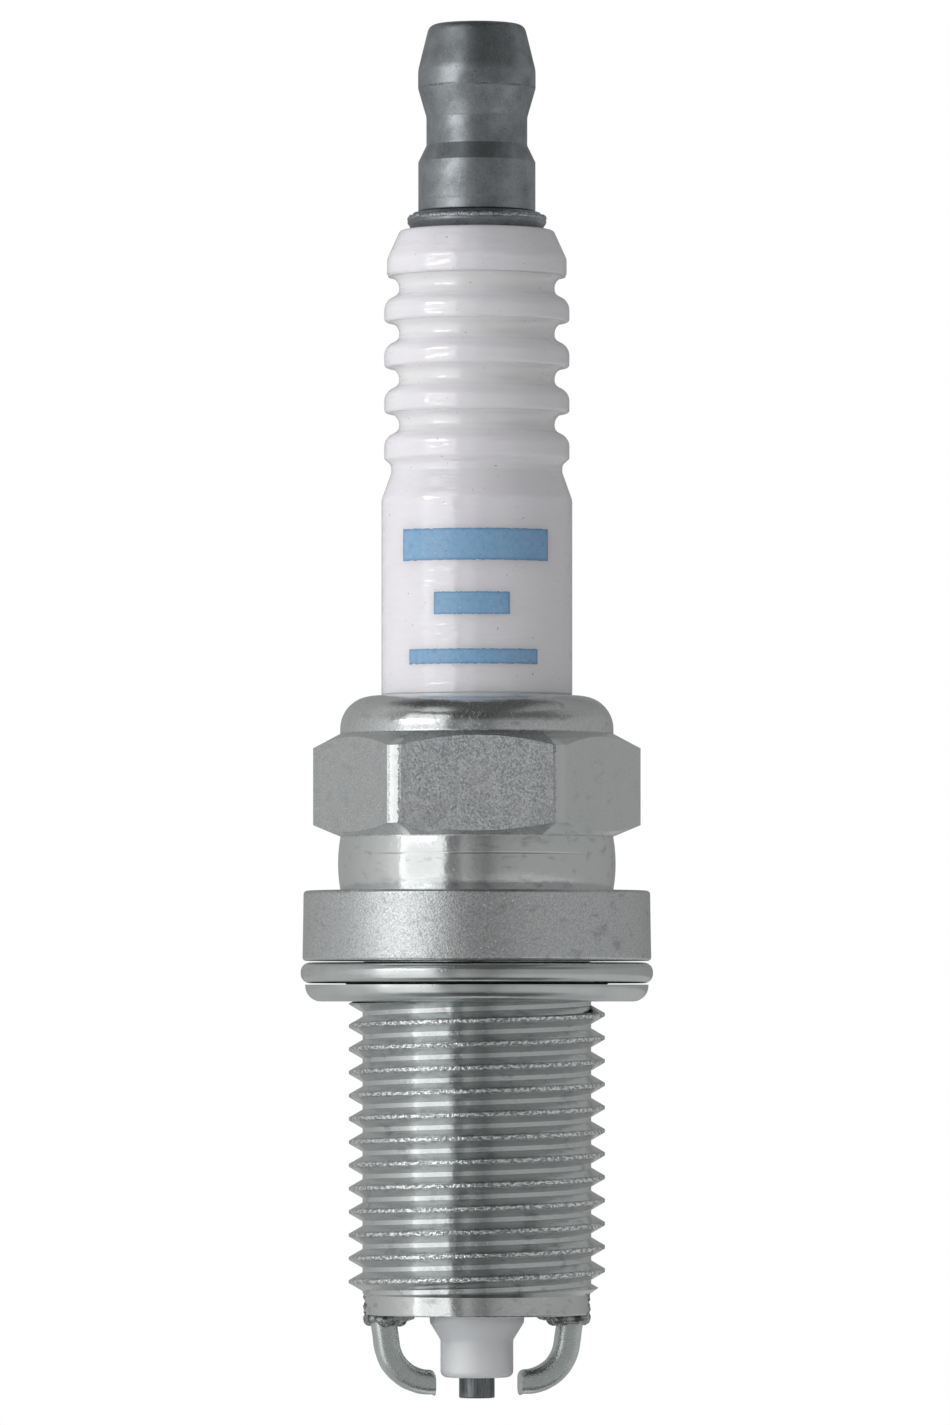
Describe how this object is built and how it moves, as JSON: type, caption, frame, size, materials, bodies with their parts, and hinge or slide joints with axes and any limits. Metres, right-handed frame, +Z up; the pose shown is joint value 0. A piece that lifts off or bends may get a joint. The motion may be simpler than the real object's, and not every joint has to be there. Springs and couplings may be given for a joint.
{
  "type": "spark plug",
  "caption": "Spark plug with ribbed ceramic insulator, hexagonal steel shell, threaded end, folded gasket, press-on terminal and paired side electrodes.",
  "frame": {"origin": "on the plug's axis, in the flat underside of the gasket, where the plug rests on the cylinder head", "axes": "+Z up the plug's axis to the terminal, -Y out of one flat of the hexagon, X through two of its corners; the ground electrodes lie 7 degrees from X"},
  "size_m": [0.019, 0.019, 0.0741],
  "materials": {
    "terminal_steel": "satin",
    "alumina": "gloss",
    "shell_steel": "satin",
    "gasket_steel": "satin",
    "packing_steel": "satin",
    "talc": "matte",
    "seal_glass": "satin",
    "resistor_ceramic": "matte",
    "electrode_nickel": "satin",
    "core_copper": "satin",
    "ground_nickel": "satin",
    "weld_metal": "satin"
  },
  "bodies": {
    "plug": {"shell": "shell_steel", "insulator": "alumina", "terminal_stud": "terminal_steel", "upper_packing_ring": "packing_steel", "talc_filling": "talc", "lower_packing_ring": "packing_steel", "seat_packing": "packing_steel", "upper_glass_seal": "seal_glass", "resistor": "resistor_ceramic", "lower_glass_seal": "seal_glass", "centre_electrode": "electrode_nickel", "centre_core": "core_copper", "ground_electrode_left": "ground_nickel", "ground_electrode_right": "ground_nickel", "weld_left": "weld_metal", "weld_right": "weld_metal"},
    "gasket": {"gasket": "gasket_steel"},
    "terminal_nut": {"terminal_nut": "terminal_steel"}
  },
  "joints": [
    {"name": "gasket_turn", "type": "hinge", "parent": "plug", "child": "gasket", "pos_m": [0, 0, 0.001], "axis": [0, 0, 1], "continuous": true},
    {"name": "terminal_nut_off", "type": "slide", "parent": "plug", "child": "terminal_nut", "axis": [0, 0, 1], "range_m": [0, 0.009]}
  ]
}
